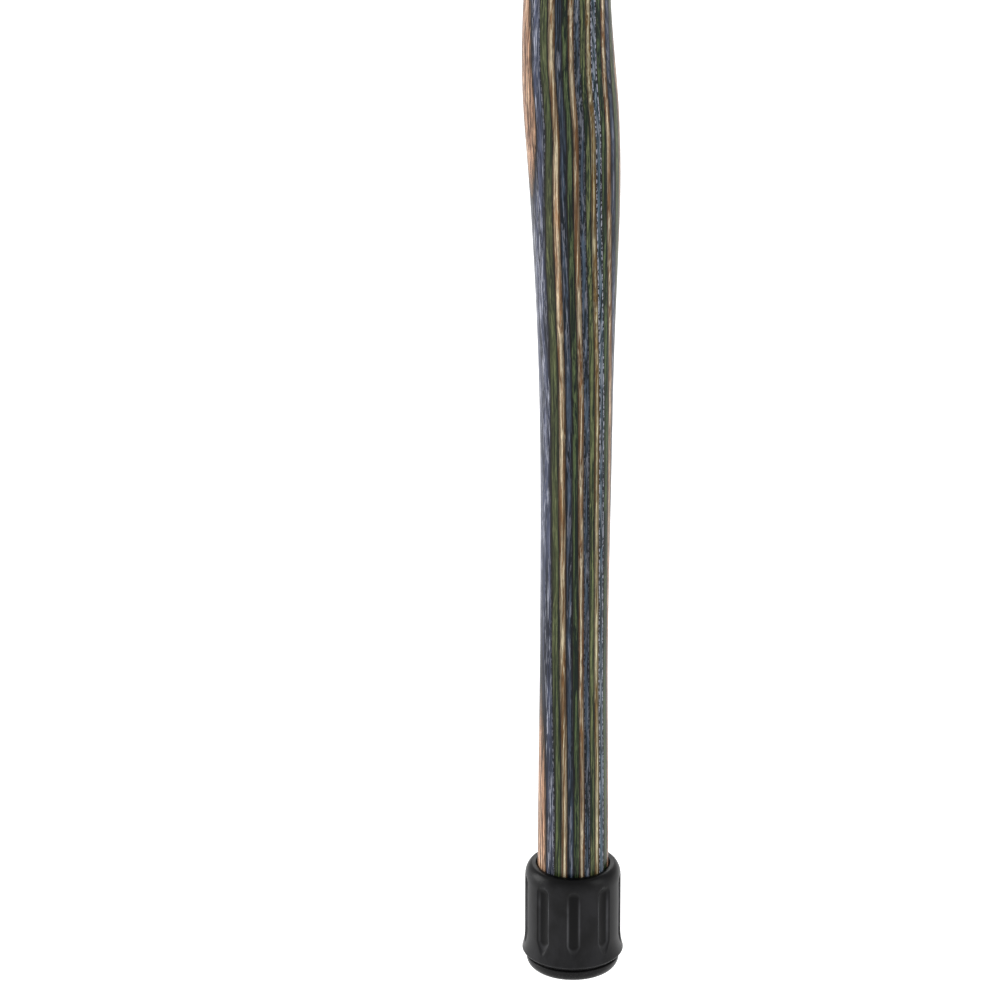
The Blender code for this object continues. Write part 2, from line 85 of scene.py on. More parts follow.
# The oval turns once in the turn length. Its middle swings round the axis, by
# a share that is given below the collar, and wavers to one side lower down
TURN_LENGTH = 574.7 * MM
BROAD_BELOW_COLLAR = 143.0 * MM
BROAD_ANGLE = math.radians(-22.3)
SWING = 0.62 * MM
SWING_PITCH = 214.8 * MM
SWING_LINE = ((0.0, 0.0), (55.0 * MM, 1.0), (624.0 * MM, 1.0), (734.0 * MM, 0.0))
SWING_LEFT_BELOW_COLLAR = 95.1 * MM
SWING_LEFT_ANGLE = math.radians(157.7)
WAVER_LINE = (
    (440.0 * MM, 0.0 * MM),
    (583.0 * MM, 2.9 * MM),
    (635.0 * MM, 0.05 * MM),
    (672.0 * MM, -0.6 * MM),
    (770.0 * MM, 0.0 * MM),
)
WAVER_ANGLE = math.radians(255.0)

# Collar, with a bead at each edge, a fine line turned inside each bead and
# ends that are hollow by a hair
COLLAR_HEIGHT = 16.0 * MM
COLLAR_TOP_Z = COLLAR_Z + COLLAR_HEIGHT
COLLAR_RADIUS = 13.2 * MM
COLLAR_WALL = 0.9 * MM
COLLAR_BEAD = 0.35 * MM
COLLAR_EDGE = 1.6 * MM
COLLAR_HOLLOW = 0.02 * MM
LINE_DEPTH = 0.25 * MM
LINE_MIDDLE = COLLAR_EDGE + 0.12 * MM
LINE_END = COLLAR_EDGE + 0.34 * MM
BEAD_STEPS = 8
COLLAR_SIDES = 160

# Tenons that meet in the collar, and the stud's bore through both
SEAT_GAP = 0.3 * MM
JOINT_Z = COLLAR_Z + COLLAR_HEIGHT / 2
TENON_RADIUS = COLLAR_RADIUS - COLLAR_WALL - SEAT_GAP
BORE_RADIUS = 3.3 * MM
BORE_DEPTH = 28.3 * MM

# Derby handle, as points along its back: X, height over the collar, half
# height and half width of the grip there
GRIP_LINE = (
    (37.0 * MM, 17.0 * MM, 6.5 * MM, 9.0 * MM),
    (29.0 * MM, 26.5 * MM, 11.5 * MM, 12.4 * MM),
    (15.0 * MM, 33.5 * MM, 14.6 * MM, 14.4 * MM),
    (-2.0 * MM, 36.0 * MM, 15.4 * MM, 15.0 * MM),
    (-22.0 * MM, 34.5 * MM, 13.8 * MM, 14.6 * MM),
    (-44.0 * MM, 32.0 * MM, 12.2 * MM, 13.6 * MM),
    (-66.0 * MM, 33.5 * MM, 11.4 * MM, 12.4 * MM),
    (-84.0 * MM, 39.5 * MM, 9.6 * MM, 10.8 * MM),
)
GRIP_END_ROUND = 8.0 * MM
GRIP_END_TURN = math.radians(84.0)
GRIP_RINGS = 90
NECK_RADIUS = 12.6 * MM
NECK_TOP = 30.0 * MM
NECK_FLARE = (19.0 * MM, 13.2 * MM)
NECK_RINGS = 24
HANDLE_SIDES = 64
HANDLE_VOXEL = 0.8 * MM

# Carving of the joint between grip and neck: how far it reaches, how often
# the whole handle is smoothed and how often the joint is
CARVED_HALF_LENGTH = 30.0 * MM
CARVED_TOP = 26.0 * MM
HANDLE_SMOOTHINGS = 6
JOINT_SMOOTHINGS = 24

# Rubber tip: from the floor up a band, a crease, a lip that flares out over
# it, flutes and a shoulder
TIP_HEIGHT = 28.8 * MM
TIP_BODY_RADIUS = 12.2 * MM
TIP_RIM_RADIUS = 10.1 * MM
TIP_SHOULDER = 3.6 * MM
TIP_LIP_RADIUS = 12.9 * MM
TIP_LIP_HEIGHT = 4.9 * MM
TIP_LIP_EDGE = 0.55 * MM
TIP_FLARE_HEIGHT = 4.9 * MM
TIP_BAND_RADIUS = 11.85 * MM
TIP_BAND_ROUND = (2.25 * MM, 2.8 * MM)
TIP_BAND_HEIGHT = 3.1 * MM
TIP_BAND_EDGE = 0.25 * MM
TIP_SIDES = 360
TIP_ARC_STEPS = 12
TIP_FLARE_STEPS = 19
TIP_RING_STEP = 0.3 * MM

# Points of the crease, as distance inside the band's side and over its top
TIP_CREASE = ((0.5 * MM, 0.12 * MM), (0.45 * MM, 0.3 * MM))

# Socket for the shaft, and its rounded mouth and floor
TIP_FLOOR = 6.5 * MM
SOCKET_RADIUS = 9.3 * MM
SOCKET_EDGE = 0.3 * MM

# Rings sunk in the tread: radius where the flat inside each one ends, and
# where its groove begins and ends
TREAD_RINGS = ((4.4 * MM, 4.6 * MM, 6.0 * MM), (8.05 * MM, 8.2 * MM, 9.4 * MM))
TREAD_DEPTH = 1.0 * MM
TREAD_SLOPE = 0.25 * MM
TREAD_EDGE = 0.15 * MM

# Flutes: pointed over the foot's length, round over the head's
FLUTES = 9
FLUTE_TURN = math.radians(-17.0)
FLUTE_WIDTH = 3.6 * MM
FLUTE_DEPTH = 0.9 * MM
FLUTE_BOTTOM = 6.6 * MM
FLUTE_TOP = 25.8 * MM
FLUTE_FOOT = 3.6 * MM
FLUTE_HEAD = 1.7 * MM
FLUTED_BEYOND = TIP_RIM_RADIUS + 0.3 * MM

# Steel washer on the floor of the socket
WASHER_HOLE = 2.2 * MM
WASHER_EDGE = 0.25 * MM
WASHER_SIDES = 96

# Screen colours of each dye: on the broad face, where the veneer is cut across
# its edge, in its pores, in its flecks and painted sheen, and beside a glue line.
# Then how strong its dark dashes, its dark lines and its pale strokes are, the
# strokes being partly grain figure and partly painted sheen, and how much further
# the stain has bled in where the veneer is cut across its edge
VENEER_DYES = {
    "green": {
        "Pale": (89, 94, 60), "Deep": (52, 56, 36), "Cut pale": (104, 117, 78),
        "Cut deep": (22, 41, 28), "Pore": (16, 20, 12), "Fleck and sheen": (160, 164, 118),
        "Stain": (14, 16, 11), "Dashes": 0.6, "Lines": 0.6, "Strokes": 0.4, "Bleed": 0.25},
    "tan": {
        "Pale": (214, 170, 138), "Deep": (154, 110, 82), "Cut pale": (255, 243, 202),
        "Cut deep": (154, 121, 74), "Pore": (48, 28, 18), "Fleck and sheen": (242, 224, 190),
        "Stain": (66, 48, 24), "Dashes": 0.93, "Lines": 0.95, "Strokes": 0.4, "Bleed": 0.64},
    "blue": {
        "Pale": (72, 77, 102), "Deep": (32, 36, 50), "Cut pale": (80, 96, 114),
        "Cut deep": (16, 29, 38), "Pore": (14, 16, 24), "Fleck and sheen": (200, 202, 218),
        "Stain": (13, 15, 21), "Dashes": 0.6, "Lines": 0.5, "Strokes": 0.8, "Bleed": 0.3},
}

# Marks in the grain: waves in a millimetre along X, along Y and up the grain,
# the range of the noise over which a mark fades in, and its detail and roughness
GRAIN_MARKS = {
    "Dashes": ((3.6, 1.4, 0.12), (0.5, 0.57), 2.0, 0.6),
    "Fibres": ((5.0, 5.0, 0.5), (0.3, 0.7), 2.0, 0.6),
    "Bands": ((0.9, 0.9, 0.02), (0.42, 0.58), 3.0, 0.6),
    "Ribbons": ((3.0, 3.0, 0.014), (0.46, 0.54), 2.0, 0.6),
    "Slivers": ((1.9, 1.9, 0.018), (0.46, 0.54), 3.0, 0.65),
    "Stitches": ((2.4, 2.4, 0.9), (0.48, 0.56), 2.0, 0.6),
}

# Vessels make the dark lines, with gaps, and the pale strokes, partly grain figure and partly painted
# sheen, come in patches
VESSEL_WAVES = (1.7, 0.6, 0.018)
VESSEL_GAPS = ((1.6, 1.6, 0.1), (0.34, 0.46), 2.0, 0.6)
STROKE_MARKS = ((3.8, 1.6, 0.12), (0.51, 0.59), 3.0, 0.6)
STROKE_PATCHES = ((0.6, 0.6, 0.03), (0.36, 0.56), 2.0, 0.6)

# The grain's sway to the side: its waves in a millimetre, and its reach in mm
SWAY_WAVES = (0.08, 0.08, 0.022)
SWAY = 4.0

# How far glue, stain and stitches reach from a glue line, in mm: where each
# starts to fade and where it ends
GLUE_REACH = (0.03, 0.12)
STAIN_REACH = (0.05, 0.34)
STITCH_REACH = (0.18, 0.36)

# Screen colours of everything else
TONES = {
    "glue": (26, 20, 24), "brass": (206, 170, 104), "tarnish": (160, 124, 70),
    "dull zinc": (168, 170, 174), "bright zinc": (196, 198, 200),
    # Painted shade for the tip's flutes and its band below the lip, and a painted highlight for the
    # flanks of its flutes
    "flute foot painted shade": (18, 18, 19), "flute head painted shade": (2, 2, 3), "rubber": (26, 26, 27),
    "worn rubber": (40, 40, 42), "painted flank highlight": (92, 92, 95), "below lip painted shade": (8, 8, 9),
    "dust": (96, 94, 92), "floor": (238, 238, 238), "bright floor": (242, 242, 242),
}

# Camera: its direction round and over the object, what it looks at, and how
# many pixels of a picture 1000 wide one millimetre takes there
CAMERA_ROUND = math.radians(72.5)
CAMERA_OVER = math.radians(23.5)
CAMERA_AWAY = 2.0
CAMERA_LOOKS_AT_Z = 129.3 * MM
CAMERA_LEFT_OF_SHAFT = 18.6 * MM
PICTURE_WIDTH = 1000
PIXELS_PER_MM = 4.0

# Lamps: degrees round and over the object, distance, width, height and power
LAMPS = {
    "key": (-24.0, 12.0, 2.4, 1.4, 1.6, 48.0),
    "fill": (140.0, 22.0, 2.6, 1.2, 2.0, 22.0),
    "back": (250.0, 35.0, 2.6, 1.6, 1.8, 24.0),
}
LAMPS_AIM_AT_Z = 0.4
WORLD_LIGHT = 0.42

# The floor lies low enough for the tip to come off above it. It glows, weaker
# near the object, where the lamps light it more
FLOOR_Z = -36.0 * MM
FLOOR_RADIUS = 12.0
FLOOR_GLOW = 0.6
FLOOR_GLOW_FROM = 0.5
FLOOR_GLOW_FULL_AT = 2.5


def smooth_through(points, place):
    """Value at a place on the smooth curve through (place, value) points."""
    if place <= points[0][0]:
        return points[0][1]
    if place >= points[-1][0]:
        return points[-1][1]
    last = len(points) - 1
    slopes = [0.0] * (last + 1)
    for i in range(1, last):
        (x0, y0), (x1, y1) = points[i - 1], points[i + 1]
        slopes[i] = (y1 - y0) / (x1 - x0)
    i = max(k for k in range(last) if points[k][0] <= place)
    (x0, y0), (x1, y1) = points[i], points[i + 1]
    step = x1 - x0
    t = (place - x0) / step
    rise = t * t * (3 - 2 * t)
    return y0 + (y1 - y0) * rise + step * t * (1 - t) * ((1 - t) * slopes[i] - t * slopes[i + 1])


def shaft_point(across, along, z):
    """Place on the carved skin for a point of the unit circle at one height."""
    drop = COLLAR_Z - z
    half_long = smooth_through([(at, long) for at, long, short in SHAFT_LINE], drop)
    half_short = smooth_through([(at, short) for at, long, short in SHAFT_LINE], drop)
    swing = SWING * smooth_through(SWING_LINE, drop)
    swing_angle = SWING_LEFT_ANGLE - 2 * math.pi * (drop - SWING_LEFT_BELOW_COLLAR) / SWING_PITCH
    waver = smooth_through(WAVER_LINE, drop)
    turn = BROAD_ANGLE - 2 * math.pi * (drop - BROAD_BELOW_COLLAR) / TURN_LENGTH
    x = half_long * across * math.cos(turn) - half_short * along * math.sin(turn)
    y = half_long * across * math.sin(turn) + half_short * along * math.cos(turn)
    x += swing * math.cos(swing_angle) + waver * math.cos(WAVER_ANGLE)
    y += swing * math.sin(swing_angle) + waver * math.sin(WAVER_ANGLE)
    return Vector((x, y, z))


def bow_at(z):
    """How far the veneers have bowed towards -Y at one height."""
    bow = BOW_LINE[0][1]
    for (drop0, bow0), (drop1, bow1) in zip(BOW_LINE, BOW_LINE[1:]):
        t = min(max((COLLAR_Z - z - drop0) / (drop1 - drop0), 0.0), 1.0)
        bow += (bow1 - bow0) * t * t * (3 - 2 * t)
    return bow


def tube(sides, rings, point_at):
    """A closed tube of unit circles, each of its points moved to its place."""
    bm = bmesh.new()
    bmesh.ops.create_cone(
        bm, cap_ends=True, segments=sides, radius1=1.0, radius2=1.0, depth=1.0)
    uprights = [edge for edge in bm.edges if abs(edge.verts[0].co.z - edge.verts[1].co.z) > 0.5]
    bmesh.ops.subdivide_edges(bm, edges=uprights, cuts=rings, use_grid_fill=True)
    for vertex in bm.verts:
        vertex.co = point_at(vertex.co.x, vertex.co.y, vertex.co.z + 0.5)
    bmesh.ops.recalc_face_normals(bm, faces=bm.faces)
    return bm


def end_face(bm, outward):
    """The face furthest up (1) or down (-1)."""
    return max(bm.faces, key=lambda face: outward * face.calc_center_median().z)


def draw_out(bm, face, radius, z):
    """Extrude a round end face to another radius and height."""
    face = bmesh.ops.extrude_discrete_faces(bm, faces=[face])["faces"][0]
    for vertex in face.verts:
        angle = math.atan2(vertex.co.y, vertex.co.x)
        vertex.co = (radius * math.cos(angle), radius * math.sin(angle), z)
    return face


def bored_tenon(bm, face, shoulder_z, outward):
    """Turn an end face into a shoulder and a tenon, bored for the stud."""
    end_z = JOINT_Z - outward * SEAT_GAP / 2
    face = draw_out(bm, face, TENON_RADIUS, shoulder_z)
    face = draw_out(bm, face, TENON_RADIUS, end_z)
    face = draw_out(bm, face, BORE_RADIUS, end_z)
    draw_out(bm, face, BORE_RADIUS, JOINT_Z - outward * BORE_DEPTH)


def sawn_rim(bm, place, facing):
    """Saw off what lies beyond a plane: the crisp edges round the open cut."""
    result = bmesh.ops.bisect_plane(
        bm, geom=bm.verts[:] + bm.edges[:] + bm.faces[:], dist=1e-7,
        plane_co=place, plane_no=facing, clear_outer=True)
    rim = [item for item in result["geom_cut"] if isinstance(item, bmesh.types.BMEdge)]
    for edge in rim:
        edge.smooth = False
    return rim


def shaft_body():
    """The carved shaft from its foot to its tenon, before it is told apart into veneers."""
    shoulder_z = COLLAR_Z - SEAT_GAP
    length = shoulder_z - SHAFT_FOOT_Z

    def carved(across, along, place):
        return shaft_point(across, along, SHAFT_FOOT_Z + length * place)

    bm = tube(SHAFT_SIDES, round(length / SHAFT_STEP), carved)
    bored_tenon(bm, end_face(bm, 1), shoulder_z, 1)
    return bm


def grip_value(column, place):
    """One measure of the grip at a place from 0 at its nose to 1 at its tail."""
    last = len(GRIP_LINE) - 1
    points = [(i / last, point[column]) for i, point in enumerate(GRIP_LINE)]
    return smooth_through(points, place)


def grip_point(across, along, place):
    """Place on the grip, nose to tail, with the first and last fifth on its rounded ends."""
    place = place * 5 / 3 - 1 / 3
    past = max(-place, place - 1.0, 0.0) * 3
    place = min(max(place, 0.0), 1.0)
    ahead, behind = min(place + 0.01, 1.0), max(place - 0.01, 0.0)
    run = Vector((
        grip_value(0, ahead) - grip_value(0, behind), 0,
        grip_value(1, ahead) - grip_value(1, behind)))
    run.normalize()
    up = Vector((-run.z, 0, run.x))
    centre = Vector((grip_value(0, place), 0, COLLAR_TOP_Z + grip_value(1, place)))
    angle = GRIP_END_TURN * min(past, 1.0)
    centre += run * math.copysign(GRIP_END_ROUND * math.sin(angle), place - 0.5)
    high = grip_value(2, place) * math.cos(angle) * along
    wide = grip_value(3, place) * math.cos(angle) * across
    return centre + up * high + Vector((0, wide, 0))


def neck_point(across, along, place):
    """Place on the neck, which starts a sixth of its length down inside the collar."""
    t = place * 1.2 - 0.2
    z = COLLAR_TOP_Z + SEAT_GAP + (NECK_TOP - SEAT_GAP) * t
    t = max(t, 0.0)
    half_x = NECK_RADIUS + (NECK_FLARE[0] - NECK_RADIUS) * t * t
    half_y = NECK_RADIUS + (NECK_FLARE[1] - NECK_RADIUS) * t * t
    return Vector((half_x * across, half_y * along, z))


def new_object(name, bm):
    """Put a bmesh into the scene as an object of its own."""
    mesh = bpy.data.meshes.new(name)
    bm.to_mesh(mesh)
    bm.free()
    item = bpy.data.objects.new(name, mesh)
    bpy.context.scene.collection.objects.link(item)
    return item


def handle_body():
    """Grip and neck as one body with a carved, flowing joint between them."""
    grip = new_object("grip", tube(HANDLE_SIDES, GRIP_RINGS, grip_point))
    neck = new_object("neck", tube(HANDLE_SIDES, NECK_RINGS, neck_point))
    union = grip.modifiers.new("neck", "BOOLEAN")
    union.operation = "UNION"
    union.solver = "EXACT"
    union.object = neck
    remesh = grip.modifiers.new("even", "REMESH")
    remesh.mode = "VOXEL"
    remesh.voxel_size = HANDLE_VOXEL
    bpy.context.view_layer.update()
    graph = bpy.context.evaluated_depsgraph_get()
    bm = bmesh.new()
    bm.from_mesh(grip.evaluated_get(graph).data)
    for item in (grip, neck):
        bpy.data.objects.remove(item, do_unlink=True)
    joint = [
        vertex for vertex in bm.verts
        if abs(vertex.co.x) < CARVED_HALF_LENGTH and vertex.co.z < COLLAR_TOP_Z + CARVED_TOP]
    for turn in range(JOINT_SMOOTHINGS):
        around = bm.verts if turn < HANDLE_SMOOTHINGS else joint
        bmesh.ops.smooth_vert(
            bm, verts=around, factor=0.5, use_axis_x=True, use_axis_y=True, use_axis_z=True)
    shoulder_z = COLLAR_TOP_Z + SEAT_GAP
    rim = sawn_rim(bm, (0, 0, shoulder_z), (0, 0, -1))
    face = bmesh.ops.contextual_create(bm, geom=rim)["faces"][0]
    bored_tenon(bm, face, shoulder_z, -1)
    bmesh.ops.recalc_face_normals(bm, faces=bm.faces)
    return bm


def told_apart(bm, numbers):
    """Saw a body along the glue lines of its blank: each veneer's number and solid in turn."""
    for vertex in bm.verts:
        vertex.co.y += bow_at(vertex.co.z)
    for number in numbers:
        inner_y = number * VENEER_PITCH - BLANK_FACE
        veneer = bm
        if number != numbers[-1]:
            veneer = bm.copy()
            for side, facing in ((veneer, (0, 1, 0)), (bm, (0, -1, 0))):
                rim = sawn_rim(side, (0, inner_y, 0), facing)
                bmesh.ops.triangle_fill(side, use_beauty=True, edges=rim, normal=facing)
        for vertex in veneer.verts:
            vertex.co.y -= bow_at(vertex.co.z)
        yield number, veneer


def islands_of(bm):
    """The faces of each part that hangs together."""
    left = set(bm.faces)
    islands = []
    while left:
        island, reached = set(), [left.pop()]
        while reached:
            face = reached.pop()
            island.add(face)
            for vertex in face.verts:
                for near in vertex.link_faces:
                    if near in left:
                        left.remove(near)
                        reached.append(near)
        islands.append(island)
    return islands


def veneer_pieces(bm, nodes, material):
    """Pieces of one veneer: one for each island that carving left, standing for its node."""
    islands = islands_of(bm)
    spans = []
    for island in islands:
        heights = [vertex.co.z for face in island for vertex in face.verts]
        spans.append((min(heights), max(heights)))

    def nearest(z, choices):
        return min(choices, key=lambda i: max(spans[i][0] - z, z - spans[i][1], 0.0))

    owned = {}
    for node in nodes:
        low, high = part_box(node)
        owned.setdefault(nearest((low.z + high.z) / 2, range(len(islands))), []).append(node)
    groups = {i: set(islands[i]) for i in owned}
    for i, island in enumerate(islands):
        if i not in owned:
            groups[nearest(sum(spans[i]) / 2, list(owned))] |= island
    for i, group in groups.items():
        for island in islands:
            for face in island:
                face.tag = face in group
        piece_bm = bm.copy()
        spare = [face for face in piece_bm.faces if not face.tag]
        bmesh.ops.delete(piece_bm, geom=spare, context="FACES")
        finish_piece(piece_bm, f"carved_{owned[i][0]}", material, "cane", *owned[i])
    bm.free()


def finish_piece(bm, name, material, body, *nodes):
    """Shade a finished solid, give it its material, its body and the nodes it stands for."""
    for face in bm.faces:
        face.smooth = True
    piece = new_object(name, bm)
    piece.data.materials.append(material)
    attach(piece, body)
    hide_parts(*nodes)


def veneer_numbers(kind):
    """Numbers of the veneers that are left in the shaft or the handle, and their nodes."""
    numbers = {}
    for node in sorted(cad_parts):
        if node.startswith(f"{kind}_ply_"):
            numbers.setdefault(int(node.split("_ply_")[1][:2]), []).append(node)
    return numbers


def make_veneers(kind, bm, materials):
    """Tell the shaft's or the handle's body apart into its veneers, each in its dye."""
    nodes = veneer_numbers(kind)
    for number, veneer in told_apart(bm, sorted(nodes)):
        colour = VENEER_CYCLE[(number - 1) % len(VENEER_CYCLE)]
        veneer_pieces(veneer, nodes[number], materials[colour])


def turned(outline, sides, closed):
    """Spin an outline of (radius, height) points about the shaft's axis."""
    bm = bmesh.new()
    points = [bm.verts.new((radius, 0.0, height)) for radius, height in outline]
    edges = [bm.edges.new(pair) for pair in zip(points, points[1:])]
    if closed:
        edges.append(bm.edges.new((points[-1], points[0])))
    bmesh.ops.spin(
        bm, geom=points + edges, cent=(0, 0, 0), axis=(0, 0, 1),
        angle=2 * math.pi, steps=sides, use_merge=True, use_duplicate=False)
    bmesh.ops.remove_doubles(bm, verts=bm.verts, dist=1e-6)
    bmesh.ops.recalc_face_normals(bm, faces=bm.faces)
    return bm


def crisp_edges(bm, degrees=50.0):
    """Mark the edges that turn more than an angle, so that they stay crisp when shaded."""
    for edge in bm.edges:
        if len(edge.link_faces) == 2 and edge.calc_face_angle() > math.radians(degrees):
            edge.smooth = False


def rounded(corner, radius, start, stop, steps=5):
    """Points of an arc in an outline, from one angle in degrees to another."""
    angles = [math.radians(start + (stop - start) * i / steps) for i in range(steps + 1)]
    return [(corner[0] + radius * math.cos(a), corner[1] + radius * math.sin(a)) for a in angles]


def make_collar(material):
    """Turned band with a half-round bead at each edge and a fine line inside each bead."""
    inner = COLLAR_RADIUS - COLLAR_WALL
    bead = COLLAR_EDGE / 2
    end_z = COLLAR_Z + COLLAR_HOLLOW
    outline = [(inner, end_z), (COLLAR_RADIUS - LINE_DEPTH, end_z)]
    for base, way in ((COLLAR_Z, 1), (COLLAR_TOP_Z, -1)):
        profile = []
        for i in range(BEAD_STEPS + 1):
            angle = math.pi * i / BEAD_STEPS
            radius = COLLAR_RADIUS + COLLAR_BEAD * math.sin(angle)
            profile.append((radius, base + way * (bead - bead * math.cos(angle))))
        profile.append((COLLAR_RADIUS - LINE_DEPTH, base + way * LINE_MIDDLE))
        profile.append((COLLAR_RADIUS, base + way * LINE_END))
        outline += profile[::way]
    outline += [(inner, COLLAR_TOP_Z)]
    bm = turned(outline, COLLAR_SIDES, True)
    crisp_edges(bm)
    finish_piece(bm, "turned_collar", material, "cane", "collar")


def make_washer(material):
    """Flat washer with rounded outer edges, on the floor of the tip's socket."""
    low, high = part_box("tip_washer")
    edge_radius = high.x - WASHER_EDGE
    outline = [(WASHER_HOLE, low.z)]
    outline += rounded((edge_radius, low.z + WASHER_EDGE), WASHER_EDGE, -90, 0)
    outline += rounded((edge_radius, high.z - WASHER_EDGE), WASHER_EDGE, 0, 90)
    outline += [(WASHER_HOLE, high.z)]
    bm = turned(outline, WASHER_SIDES, True)
    crisp_edges(bm)
    finish_piece(bm, "pressed_washer", material, "tip", "tip_washer")


def flute_cut(angle, z):
    """How deep the tip's flutes are cut at one place: round at the top, pointed at the bottom."""
    spacing = 2 * math.pi / FLUTES
    off = abs((angle - FLUTE_TURN + spacing / 2) % spacing - spacing / 2) * TIP_BODY_RADIUS
    if not FLUTE_BOTTOM < z < FLUTE_TOP:
        return 0.0
    lower = min((z - FLUTE_BOTTOM) / FLUTE_FOOT, 1.0)
    upper = min((FLUTE_TOP - z) / FLUTE_HEAD, 1.0)
    half_width = FLUTE_WIDTH / 2 * lower**0.7 * math.sqrt(1 - (1 - upper)**2)
    if off >= half_width:
        return 0.0
    return FLUTE_DEPTH * (1 - (off / half_width)**2)**0.5 * lower * math.sqrt(upper)


def tip_outline():
    """Half section of the tip, from its underside round to the floor of its socket."""
    body, rim, band, lip = TIP_BODY_RADIUS, TIP_RIM_RADIUS, TIP_BAND_RADIUS, TIP_LIP_RADIUS
    outline = [(0.0, 0.0)]
    for flat_end, inner, outer in TREAD_RINGS:
        outline += [(flat_end, 0.0), (inner, TREAD_EDGE), (inner + TREAD_SLOPE, TREAD_DEPTH)]
        outline += [(outer - TREAD_SLOPE, TREAD_DEPTH), (outer, TREAD_EDGE), (outer + TREAD_EDGE, 0.0)]
    wide, high = TIP_BAND_ROUND
    for i in range(TIP_ARC_STEPS + 1):
        angle = math.pi / 2 * i / TIP_ARC_STEPS
        outline.append((band - wide * (1 - math.sin(angle)), high * (1 - math.cos(angle))))
    outline += rounded((band - TIP_BAND_EDGE, TIP_BAND_HEIGHT - TIP_BAND_EDGE), TIP_BAND_EDGE, 0, 80, 4)
    outline += [(band - inward, TIP_BAND_HEIGHT + up) for inward, up in TIP_CREASE]
    outline += rounded((lip - TIP_LIP_EDGE, TIP_LIP_HEIGHT), TIP_LIP_EDGE, -78, 20, 7)
    edge_radius, edge_z = outline[-1]
    flare_top = TIP_LIP_HEIGHT + TIP_FLARE_HEIGHT
    for i in range(1, TIP_FLARE_STEPS + 1):
        t = i / TIP_FLARE_STEPS
        outline.append((body + (edge_radius - body) * (1 - t)**2, edge_z + (flare_top - edge_z) * t))
    shoulder_z = TIP_HEIGHT - TIP_SHOULDER
    steps = round((shoulder_z - flare_top) / TIP_RING_STEP)
    outline += [
        (body, flare_top + (shoulder_z - flare_top) * i / steps) for i in range(1, steps)]
    for i in range(TIP_ARC_STEPS):
        angle = math.pi / 2 * i / TIP_ARC_STEPS
        outline.append(
            (rim + (body - rim) * math.cos(angle), shoulder_z + TIP_SHOULDER * math.sin(angle)))
    outline += rounded(
        (SOCKET_RADIUS + SOCKET_EDGE, TIP_HEIGHT - SOCKET_EDGE), SOCKET_EDGE, 90, 180, 4)
    outline += [(SOCKET_RADIUS, TIP_FLOOR + SOCKET_EDGE), (SOCKET_RADIUS - SOCKET_EDGE, TIP_FLOOR)]
    outline += [(0.0, TIP_FLOOR)]
    return outline


def make_tip(material):
    """Moulded rubber tip: fluted sides, a flared lip over a round band, and tread rings below."""
    bm = turned(tip_outline(), TIP_SIDES, False)
    for vertex in bm.verts:
        x, y, z = vertex.co
        radius = math.hypot(x, y)
        if radius < FLUTED_BEYOND:
            continue
        shrink = 1 - flute_cut(math.atan2(y, x), z) / radius
        vertex.co.x = x * shrink
        vertex.co.y = y * shrink
    crisp_edges(bm, 40.0)
    finish_piece(bm, "moulded_tip", material, "tip", "rubber_tip")


def linear(levels):
    """Colour values of 0 to 255, as they look on a screen, as a shader's linear colour."""
    scaled = [level / 255 for level in levels]
    return (*[c / 12.92 if c <= 0.04045 else ((c + 0.055) / 1.055)**2.4 for c in scaled], 1.0)


def tone(name):
    """One of the screen colours above as a shader's linear colour."""
    return linear(TONES[name])


def plug(tree, node, inputs):
    """Link or set a node's inputs by name or number."""
    for key, value in dict(inputs).items():
        if isinstance(value, bpy.types.NodeSocket):
            tree.links.new(value, node.inputs[key])
        else:
            node.inputs[key].default_value = value


def add_node(tree, kind, inputs=(), **settings):
    """Add a node, set its options, and link or set its inputs."""
    node = tree.nodes.new(kind)
    for name, value in settings.items():
        setattr(node, name, value)
    plug(tree, node, inputs)
    return node


def calculate(tree, operation, *values):
    """The result of one step of arithmetic on the values."""
    return add_node(tree, "ShaderNodeMath", enumerate(values), operation=operation).outputs[0]


def times(tree, first, *others):
    """The product of several values."""
    for other in others:
        first = calculate(tree, "MULTIPLY", first, other)
    return first


def stretched(tree, vector, factors):
    """A vector with each of its directions multiplied."""
    return add_node(
        tree, "ShaderNodeVectorMath", {0: vector, 1: factors}, operation="MULTIPLY").outputs[0]


def moved(tree, vector, by):
    """A vector with another added to it."""
    return add_node(tree, "ShaderNodeVectorMath", {0: vector, 1: by}, operation="ADD").outputs[0]


def faded(tree, value, from_low, from_high, to_low=0.0, to_high=1.0):
    """A value brought smoothly from one range to another."""
    return add_node(
        tree, "ShaderNodeMapRange",
        {0: value, 1: from_low, 2: from_high, 3: to_low, 4: to_high},
        interpolation_type="SMOOTHSTEP").outputs[0]


def going(tree, share, at_none, at_full):
    """A value that goes smoothly from one amount to another as a share goes from 0 to 1."""
    return faded(tree, share, 0.0, 1.0, at_none, at_full)


def clouded(tree, vector, detail=2.0, roughness=0.5):
    """Noise, at the scale that its vector sets."""
    inputs = {"Vector": vector, "Scale": 1.0, "Detail": detail, "Roughness": roughness}
    return add_node(tree, "ShaderNodeTexNoise", inputs).outputs[0]


def blended(tree, factor, below, above):
    """One colour laid over another."""
    return add_node(
        tree, "ShaderNodeMix", {"Factor": factor, 6: below, 7: above},
        data_type="RGBA", blend_type="MIX").outputs[2]


def new_group(name, inputs, outputs):
    """An empty node group with named sockets: its tree, its input node and its output node."""
    tree = bpy.data.node_groups.new(name, "ShaderNodeTree")
    for way, sockets in (("INPUT", inputs), ("OUTPUT", outputs)):
        for label, kind in sockets:
            tree.interface.new_socket(label, in_out=way, socket_type=f"NodeSocket{kind}")
    return tree, tree.nodes.new("NodeGroupInput"), tree.nodes.new("NodeGroupOutput")


